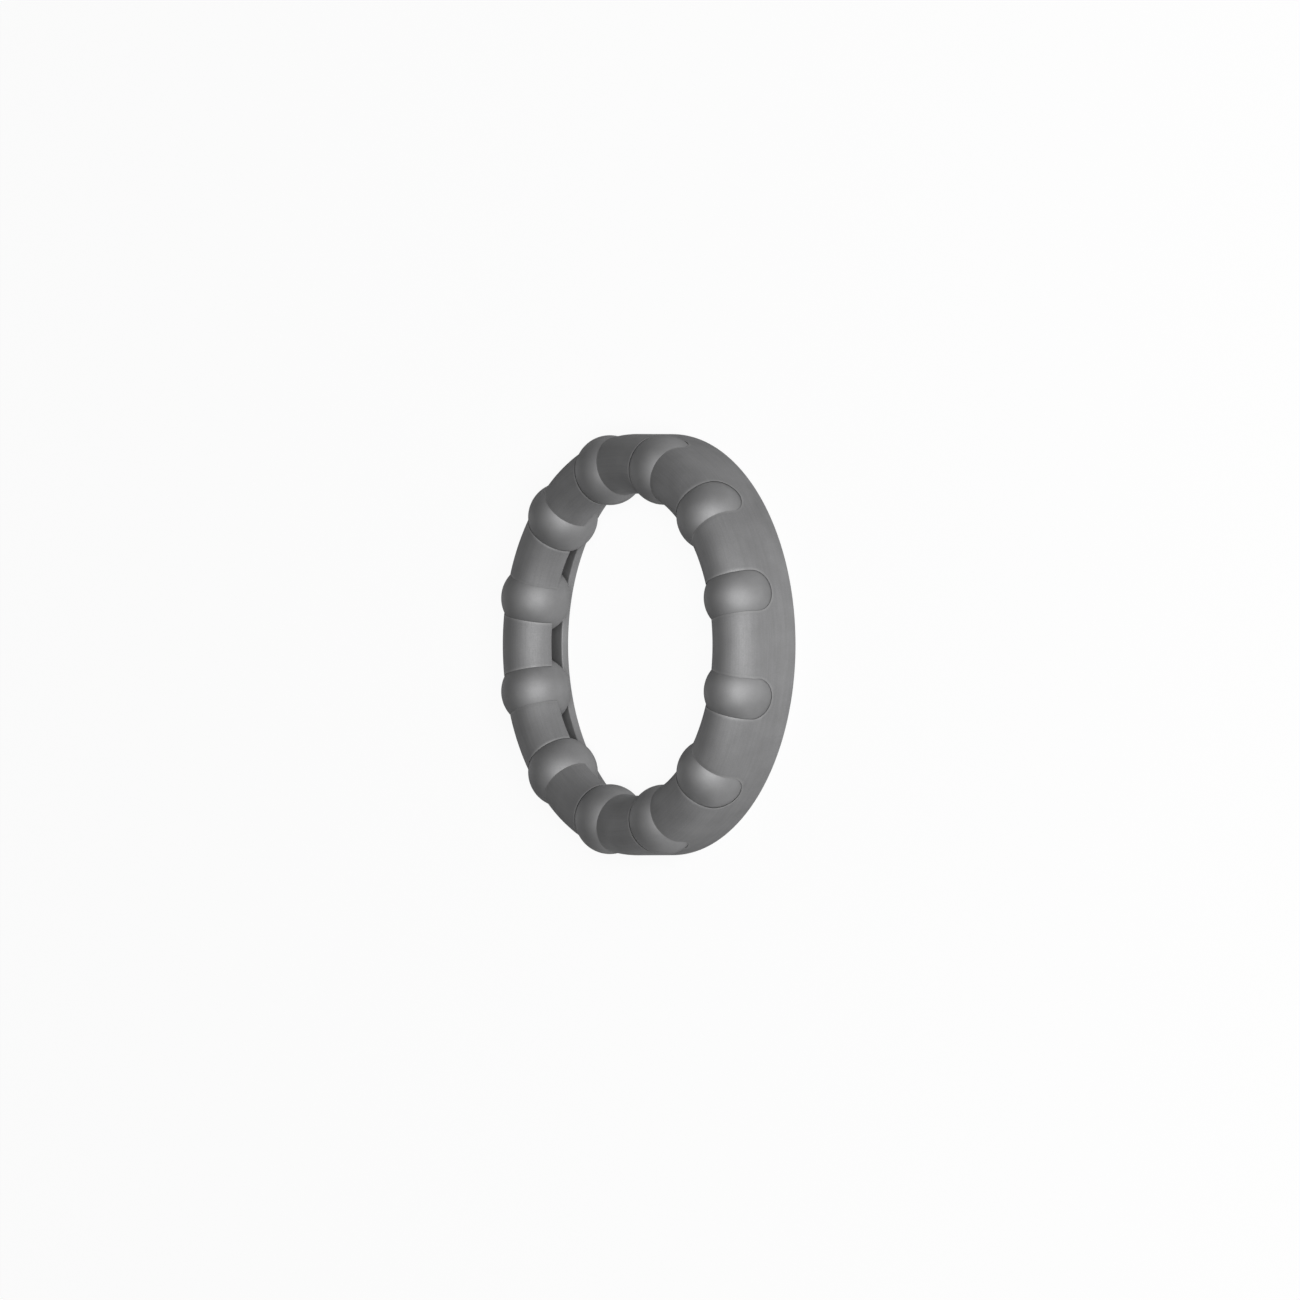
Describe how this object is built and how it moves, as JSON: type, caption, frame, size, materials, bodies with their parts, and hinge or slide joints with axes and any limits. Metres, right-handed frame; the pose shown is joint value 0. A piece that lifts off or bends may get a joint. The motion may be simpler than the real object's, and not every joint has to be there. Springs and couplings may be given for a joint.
{
  "type": "bearing separator",
  "caption": "Pressed steel ring of J-shaped section whose curled fingers hold loose steel balls evenly apart between the races of a ball bearing.",
  "frame": {"origin": "centre of the flange's back face, on the ring's axis", "axes": "+Z along the ring's axis, from the flange towards the curled fingers; +X through the middle of a finger, half a ball spacing from the first ball"},
  "size_m": [0.0574, 0.0574, 0.0108],
  "materials": {
    "pressed_steel": "dull grey pressed sheet steel, finely tumbled, with rubbed edges",
    "ball_steel": "ground and lapped bearing steel, a little smoother than the ring"
  },
  "bodies": {
    "separator": {"separator_ring": "pressed_steel"},
    "ball_01": {"ball_01": "ball_steel"},
    "ball_02": {"ball_02": "ball_steel"},
    "ball_03": {"ball_03": "ball_steel"},
    "ball_04": {"ball_04": "ball_steel"},
    "ball_05": {"ball_05": "ball_steel"},
    "ball_06": {"ball_06": "ball_steel"},
    "ball_07": {"ball_07": "ball_steel"},
    "ball_08": {"ball_08": "ball_steel"},
    "ball_09": {"ball_09": "ball_steel"},
    "ball_10": {"ball_10": "ball_steel"},
    "ball_11": {"ball_11": "ball_steel"},
    "ball_12": {"ball_12": "ball_steel"}
  },
  "joints": [
    {"name": "ball_01_roll", "type": "hinge", "parent": "separator", "child": "ball_01", "pos_m": [0.02376, 0.00637, 0.00605], "axis": [0, 0, 1], "continuous": true},
    {"name": "ball_02_roll", "type": "hinge", "parent": "separator", "child": "ball_02", "pos_m": [0.01739, 0.01739, 0.00605], "axis": [0, 0, 1], "continuous": true},
    {"name": "ball_03_roll", "type": "hinge", "parent": "separator", "child": "ball_03", "pos_m": [0.00637, 0.02376, 0.00605], "axis": [0, 0, 1], "continuous": true},
    {"name": "ball_04_roll", "type": "hinge", "parent": "separator", "child": "ball_04", "pos_m": [-0.00637, 0.02376, 0.00605], "axis": [0, 0, 1], "continuous": true},
    {"name": "ball_05_roll", "type": "hinge", "parent": "separator", "child": "ball_05", "pos_m": [-0.01739, 0.01739, 0.00605], "axis": [0, 0, 1], "continuous": true},
    {"name": "ball_06_roll", "type": "hinge", "parent": "separator", "child": "ball_06", "pos_m": [-0.02376, 0.00637, 0.00605], "axis": [0, 0, 1], "continuous": true},
    {"name": "ball_07_roll", "type": "hinge", "parent": "separator", "child": "ball_07", "pos_m": [-0.02376, -0.00637, 0.00605], "axis": [0, 0, 1], "continuous": true},
    {"name": "ball_08_roll", "type": "hinge", "parent": "separator", "child": "ball_08", "pos_m": [-0.01739, -0.01739, 0.00605], "axis": [0, 0, 1], "continuous": true},
    {"name": "ball_09_roll", "type": "hinge", "parent": "separator", "child": "ball_09", "pos_m": [-0.00637, -0.02376, 0.00605], "axis": [0, 0, 1], "continuous": true},
    {"name": "ball_10_roll", "type": "hinge", "parent": "separator", "child": "ball_10", "pos_m": [0.00637, -0.02376, 0.00605], "axis": [0, 0, 1], "continuous": true},
    {"name": "ball_11_roll", "type": "hinge", "parent": "separator", "child": "ball_11", "pos_m": [0.01739, -0.01739, 0.00605], "axis": [0, 0, 1], "continuous": true},
    {"name": "ball_12_roll", "type": "hinge", "parent": "separator", "child": "ball_12", "pos_m": [0.02376, -0.00637, 0.00605], "axis": [0, 0, 1], "continuous": true}
  ]
}
